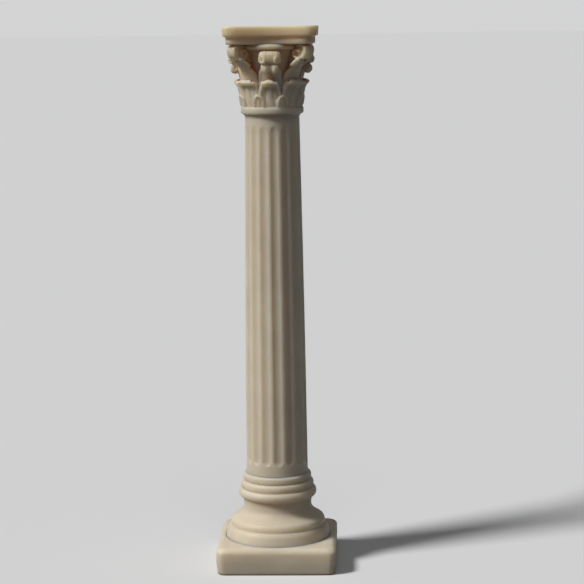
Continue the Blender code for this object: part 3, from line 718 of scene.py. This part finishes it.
def fused(name, parts, material):
    """Closed forms fused into one skin by a voxel remesh, softened and thinned."""
    points, faces = joined(parts)
    piece = new_object(name, points, faces)
    remesh = piece.modifiers.new("fuse", 'REMESH')
    remesh.mode = 'VOXEL'
    remesh.voxel_size = VOXEL
    soften = piece.modifiers.new("soften", 'SMOOTH')
    soften.factor = 0.5
    soften.iterations = 2
    mesh = evaluated(piece)
    triangles = sum(len(face.vertices) - 2 for face in mesh.polygons)
    if triangles > PIECE_TRIANGLES:
        thin = piece.modifiers.new("thin", 'DECIMATE')
        thin.ratio = PIECE_TRIANGLES / triangles
        evaluated(piece)
    finish_piece(piece, material)


def make_capital(material):
    fused("capital_leaves", leaf_parts(), material)
    fused("capital_side_leaves", four_times(side_leaf, 0.0), material)
    fused("capital_fleurons", four_times(fleuron, 0.0), material)
    fused("capital_calyxes", four_times(calyx, math.pi / 4), material)
    fused("capital_volutes", four_times(volute, math.pi / 4), material)


# Abacus

def hollow_square(half_side, steps=44, corner_steps=14):
    """Abacus outline: four hollow sides between rounded corners."""
    points = []
    run = half_side - ABACUS_CORNER_CUT
    for side in range(4):
        turn = side * math.pi / 2
        for step in range(steps + 1):
            share = 2 * step / steps - 1
            hollow = ABACUS_HOLLOW * (1 - share * share) ** 1.5
            points.append(around(turn, half_side - hollow, 0.0, share * run)[:2])
        for step in range(1, corner_steps):
            angle = step / corner_steps * math.pi / 2
            out = run + ABACUS_CORNER_CUT * math.cos(angle) ** 0.8
            along = run + ABACUS_CORNER_CUT * math.sin(angle) ** 0.8
            points.append(around(turn, out, 0.0, along)[:2])
    return np.array(points)


def make_abacus(material):
    """Two tiers, of which the upper stands out and widens a little towards its top."""
    lower = ABACUS_HALF_SIDE - ABACUS_STEP
    upper = ABACUS_HALF_SIDE
    step = ABACUS_STEP_LEVEL
    levels = [(lower - 2.5, ABACUS_FOOT + 0.05), (lower - 1.2, ABACUS_FOOT),
              (lower - 0.5, ABACUS_FOOT), (lower - 0.2, ABACUS_FOOT + 0.08),
              (lower - 0.05, ABACUS_FOOT + 0.25)]
    levels += [(lower, height) for height in np.linspace(ABACUS_FOOT + 0.5, step - 0.3, 5)]
    levels += [(lower + 0.02, step - 0.12), (lower + 0.14, step + 0.0), (lower + 0.4, step + 0.06),
               (upper - 0.36, step + 0.10), (upper - 0.20, step + 0.22), (upper - 0.14, step + 0.4)]
    levels += [(blend(upper - 0.14, upper, share), blend(step + 0.4, COLUMN_TOP - 0.4, share))
               for share in np.linspace(0, 1, 6)[1:]]
    levels += [(upper - 0.04, COLUMN_TOP - 0.2), (upper - 0.14, COLUMN_TOP - 0.07)]
    levels += [(upper - inset, COLUMN_TOP) for inset in (0.32, 0.8, 1.6)]
    rings = []
    for half_side, height in levels:
        outline = hollow_square(half_side)
        rings.append(np.column_stack([outline, np.full(len(outline), height)]))
    for share in np.linspace(1.0, 0.1, 10)[1:]:
        rings.append(rings[len(levels) - 1] * np.array([share, share, 1.0]))
    points, faces = loft(rings)
    moved = hand_made(points, size=8.0, amount=0.06)
    moved[:, 2] = np.minimum(moved[:, 2], COLUMN_TOP)
    finish_piece(new_object("abacus", moved, faces), material)


# Material, floor, lights and camera

def resin():
    """Cream casting resin: satin, translucent, faintly clouded, with a painted glow that warms and
    brightens the capital, and painted shade that browns it where it is closed in.
    """
    material = bpy.data.materials.new("cast_resin")
    material.use_nodes = True
    nodes = material.node_tree.nodes
    links = material.node_tree.links
    shader = nodes["Principled BSDF"]
    shader.inputs["Metallic"].default_value = 0.0
    shader.inputs["Subsurface Weight"].default_value = 1.0
    shader.inputs["Subsurface Radius"].default_value = GLOW_REACH
    shader.inputs["Subsurface Scale"].default_value = GLOW_SCALE
    shader.inputs["Specular IOR Level"].default_value = 0.4
    place = nodes.new("ShaderNodeTexCoord")

    def noise_node(scale, detail, roughness=0.5):
        node = nodes.new("ShaderNodeTexNoise")
        node.inputs["Scale"].default_value = scale
        node.inputs["Detail"].default_value = detail
        node.inputs["Roughness"].default_value = roughness
        links.new(place.outputs["Object"], node.inputs["Vector"])
        return node

    def multiplied(first, second, factor):
        node = nodes.new("ShaderNodeMix")
        node.data_type = 'RGBA'
        node.blend_type = 'MULTIPLY'
        node.inputs["Factor"].default_value = factor
        links.new(first, node.inputs["A"])
        links.new(second, node.inputs["B"])
        return node.outputs["Result"]

    def ramp(source, shades):
        """Colour that runs through (share, colour) pairs."""
        node = nodes.new("ShaderNodeValToRGB")
        elements = node.color_ramp.elements
        elements[0].position, elements[0].color = shades[0]
        elements[1].position, elements[1].color = shades[-1]
        for share, colour in shades[1:-1]:
            elements.new(share).color = colour
        links.new(source, node.inputs["Fac"])
        return node.outputs["Color"]

    clouds = noise_node(scale=95.0, detail=4.0)
    specks = noise_node(scale=900.0, detail=3.0)
    tint = ramp(clouds.outputs["Fac"], RESIN_SHADES)
    speckled = multiplied(tint, specks.outputs["Color"], 0.1)
    # Painted glow: the capital's heights are tinted warmer and brighter
    position = nodes.new("ShaderNodeSeparateXYZ")
    links.new(place.outputs["Object"], position.inputs["Vector"])
    rise = nodes.new("ShaderNodeMapRange")
    rise.inputs["From Min"].default_value = GLOW_PAINT_LEVELS[0] * MM
    rise.inputs["From Max"].default_value = GLOW_PAINT_LEVELS[1] * MM
    links.new(position.outputs["Z"], rise.inputs["Value"])
    glow_painted = multiplied(speckled, ramp(rise.outputs["Result"], GLOW_PAINT_SHADES), 1.0)
    # Painted shade: occluded recesses and joints are darkened to a warm brown
    recess_occlusion = nodes.new("ShaderNodeAmbientOcclusion")
    recess_occlusion.samples = 8
    recess_occlusion.inputs["Distance"].default_value = SHADE_PAINT_REACH
    shade_painted = multiplied(glow_painted, ramp(recess_occlusion.outputs["AO"], SHADE_PAINT_COLOURS), 1.0)
    links.new(shade_painted, shader.inputs["Base Color"])
    patches = noise_node(scale=260.0, detail=3.0)
    sheen = nodes.new("ShaderNodeMapRange")
    sheen.inputs["To Min"].default_value = SHEEN_RANGE[0]
    sheen.inputs["To Max"].default_value = SHEEN_RANGE[1]
    links.new(patches.outputs["Fac"], sheen.inputs["Value"])
    links.new(sheen.outputs["Result"], shader.inputs["Roughness"])
    grain = noise_node(scale=1400.0, detail=4.0, roughness=0.6)
    bump = nodes.new("ShaderNodeBump")
    bump.inputs["Strength"].default_value = 0.12
    bump.inputs["Distance"].default_value = 0.0002
    links.new(grain.outputs["Fac"], bump.inputs["Height"])
    links.new(bump.outputs["Normal"], shader.inputs["Normal"])
    return material


def make_floor():
    """Pale floor out to the horizon, which throws no light back on the column."""
    mesh = bpy.data.meshes.new("floor")
    reach = 40.0
    corners = [(-reach, -reach, 0), (reach, -reach, 0), (reach, reach, 0), (-reach, reach, 0)]
    mesh.from_pydata(corners, [], [(0, 1, 2, 3)])
    floor = bpy.data.objects.new("floor", mesh)
    bpy.context.scene.collection.objects.link(floor)
    floor.visible_diffuse = False
    material = bpy.data.materials.new("pale_floor")
    material.use_nodes = True
    shader = material.node_tree.nodes["Principled BSDF"]
    shader.inputs["Base Color"].default_value = (0.8, 0.8, 0.8, 1)
    shader.inputs["Roughness"].default_value = 1.0
    shader.inputs["Specular IOR Level"].default_value = 0.0
    mesh.materials.append(material)


def make_lights():
    """Soft key from the left, dim fill and surroundings, and a backdrop as pale as the floor."""
    world = bpy.data.worlds.new("studio")
    world.use_nodes = True
    nodes = world.node_tree.nodes
    links = world.node_tree.links
    surroundings = nodes["Background"]
    surroundings.inputs["Color"].default_value = AMBIENT_COLOUR
    surroundings.inputs["Strength"].default_value = AMBIENT
    backdrop = nodes.new("ShaderNodeBackground")
    backdrop.inputs["Color"].default_value = BACKDROP_COLOUR
    seen = nodes.new("ShaderNodeLightPath")
    choice = nodes.new("ShaderNodeMixShader")
    links.new(seen.outputs["Is Camera Ray"], choice.inputs["Fac"])
    links.new(surroundings.outputs["Background"], choice.inputs[1])
    links.new(backdrop.outputs["Background"], choice.inputs[2])
    links.new(choice.outputs["Shader"], nodes["World Output"].inputs["Surface"])
    bpy.context.scene.world = world
    sun("key", *KEY_SUN)
    sun("fill", *FILL_SUN)


def sun(name, strength, softness, turn, rise):
    """Sun of an angular size, from a turn off the front and a rise above the floor, in degrees."""
    light = bpy.data.lights.new(name, 'SUN')
    light.energy = strength
    light.angle = math.radians(softness)
    turn = math.radians(turn)
    rise = math.radians(rise)
    level = math.cos(rise)
    toward = Vector((math.sin(turn) * level, -math.cos(turn) * level, math.sin(rise)))
    lamp = bpy.data.objects.new(name, light)
    lamp.rotation_euler = toward.to_track_quat('Z', 'Y').to_euler()
    bpy.context.scene.collection.objects.link(lamp)


def make_camera():
    """Long lens that looks down a little, with the column left of the middle of the picture."""
    camera = bpy.data.cameras.new("camera")
    camera.sensor_width = SENSOR_WIDTH
    camera.lens = SENSOR_WIDTH * FOCAL_LENGTH / PHOTO_WIDTH
    thing = bpy.data.objects.new("camera", camera)
    thing.location = Vector(CAMERA_PLACE) * MM
    toward_axis = math.atan2(CAMERA_PLACE[0], -CAMERA_PLACE[1])
    yaw = toward_axis - math.atan(COLUMN_LEFT_OF_CENTRE / FOCAL_LENGTH)
    aim = Euler((math.pi / 2 - CAMERA_PITCH, 0, yaw)).to_matrix()
    aim = aim @ Matrix.Rotation(CAMERA_ROLL, 3, 'Z')
    thing.rotation_euler = aim.to_euler()
    bpy.context.scene.collection.objects.link(thing)
    bpy.context.scene.camera = thing


def main():
    material = resin()
    make_plinth(material)
    make_base(material)
    make_shaft(material)
    make_capital(material)
    make_abacus(material)
    make_floor()
    make_lights()
    make_camera()
    bpy.context.scene.view_settings.view_transform = 'Standard'


main()
